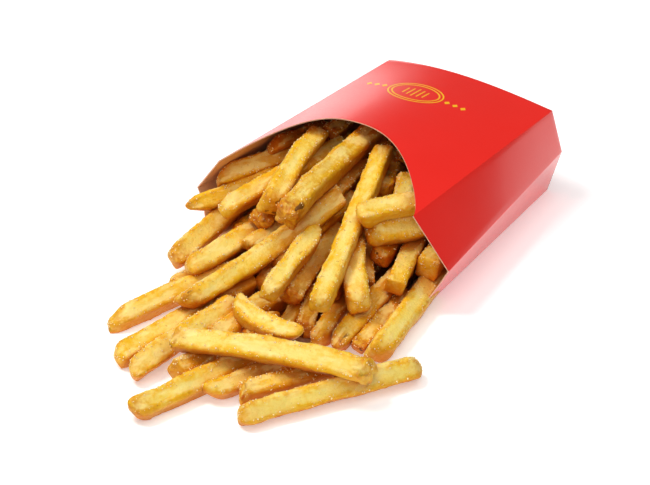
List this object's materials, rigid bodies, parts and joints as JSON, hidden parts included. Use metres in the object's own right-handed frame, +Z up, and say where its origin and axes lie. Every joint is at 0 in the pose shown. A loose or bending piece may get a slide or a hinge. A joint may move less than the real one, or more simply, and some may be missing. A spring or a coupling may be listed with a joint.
{
  "type": "french fries in a carton",
  "caption": "Folded red board scoop carton lying on its back, with fried potato sticks heaped inside it and spilling out of its mouth.",
  "frame": {"origin": "middle of the whole object's footprint, on the surface it lies on", "axes": "+Z up, -Y out of the carton's mouth along its length, +X across the carton"},
  "size_m": [0.1506, 0.2632, 0.0498],
  "materials": {
    "printed_board": "red print with a satin varnish outside, bare brown board inside",
    "fried_potato": "golden fried potato with browned ends and fine salt"
  },
  "bodies": {
    "root": {"carton": "printed_board", "fries": "fried_potato"}
  },
  "joints": []
}
